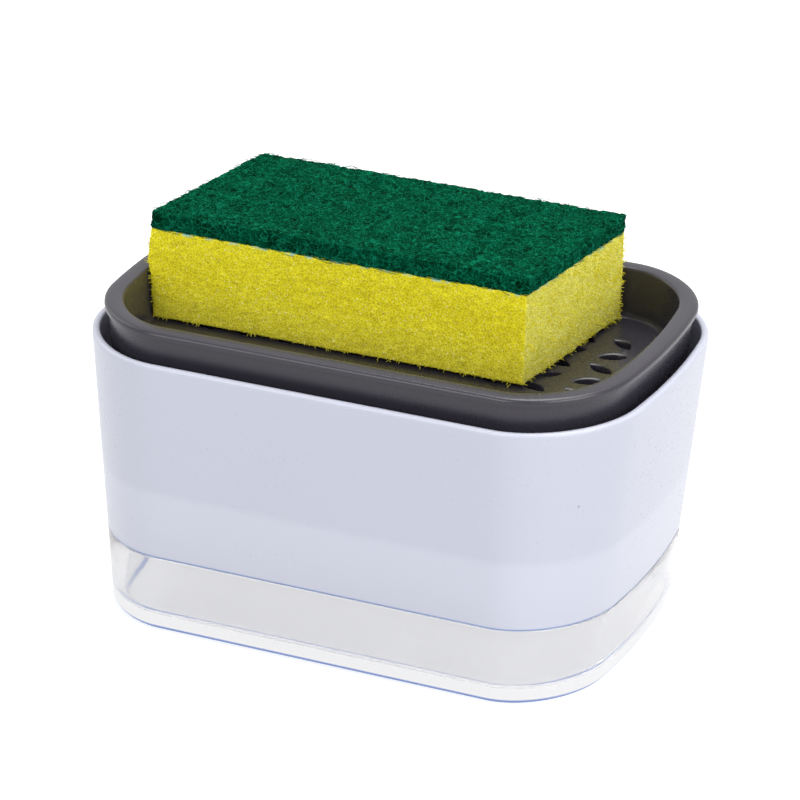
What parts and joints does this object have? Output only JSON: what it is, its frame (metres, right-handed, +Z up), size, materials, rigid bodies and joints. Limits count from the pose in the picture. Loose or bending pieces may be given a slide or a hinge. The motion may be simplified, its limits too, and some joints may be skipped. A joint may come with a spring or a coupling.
{
  "type": "soap pump caddy",
  "caption": "Countertop soap pump caddy: clear soap tank, white casing, drip tray that presses a spring pump, and a scouring sponge resting on the tray.",
  "frame": {"origin": "middle of the base, on the surface that the tank stands on", "axes": "+X along the long side, to the right in the picture; the front face looks along -Y; +Z up, along the pump's axis"},
  "size_m": [0.145, 0.106, 0.0962],
  "materials": {
    "clear_plastic": "clear moulded plastic, polished",
    "silicone": "translucent silicone, satin",
    "white_plastic": "white moulded plastic, satin gloss",
    "dark_rubber": "matt rubber",
    "natural_plastic": "natural moulded plastic, satin",
    "tube_plastic": "translucent extruded tube, satin",
    "steel": "polished stainless steel",
    "grey_plastic": "warm grey moulded plastic, satin",
    "yellow_foam": "open-cell foam",
    "green_fibre": "non-woven scouring fibre, matt"
  },
  "bodies": {
    "tank": {"soap_tank": "clear_plastic", "tank_seal": "silicone"},
    "casing": {"casing": "white_plastic", "neck_gasket": "dark_rubber", "lock_nut": "white_plastic", "pump_cylinder": "natural_plastic", "stem_guide": "natural_plastic", "valve_cage": "natural_plastic", "return_spring": "steel", "dip_tube": "tube_plastic"},
    "plunger": {"pump_stem": "white_plastic", "piston_cup": "natural_plastic", "piston_plug": "natural_plastic", "pump_head": "white_plastic", "nozzle_cap": "white_plastic"},
    "inlet_ball": {"inlet_ball": "steel"},
    "outlet_ball": {"outlet_ball": "steel"},
    "tray": {"drip_tray": "grey_plastic"},
    "sponge": {"sponge_foam": "yellow_foam", "scouring_pad": "green_fibre"}
  },
  "joints": [
    {"name": "casing_lift", "type": "slide", "parent": "tank", "child": "casing", "axis": [0, 0, 1], "range_m": [0, 0.08]},
    {"name": "pump_press", "type": "slide", "parent": "casing", "child": "plunger", "axis": [0, 0, 1], "range_m": [-0.009, 0], "stiffness_N_per_m": 550, "springref_m": 0.008, "deforming": ["return_spring"]},
    {"name": "inlet_ball_lift", "type": "slide", "parent": "casing", "child": "inlet_ball", "axis": [0, 0, 1], "range_m": [0, 0.0012]},
    {"name": "outlet_ball_lift", "type": "slide", "parent": "plunger", "child": "outlet_ball", "axis": [0, 0, 1], "range_m": [0, 0.0012]},
    {"name": "tray_lift", "type": "slide", "parent": "plunger", "child": "tray", "axis": [0, 0, 1], "range_m": [0, 0.06]},
    {"name": "sponge_lift", "type": "slide", "parent": "tray", "child": "sponge", "axis": [0, 0, 1], "range_m": [0, 0.06]}
  ]
}
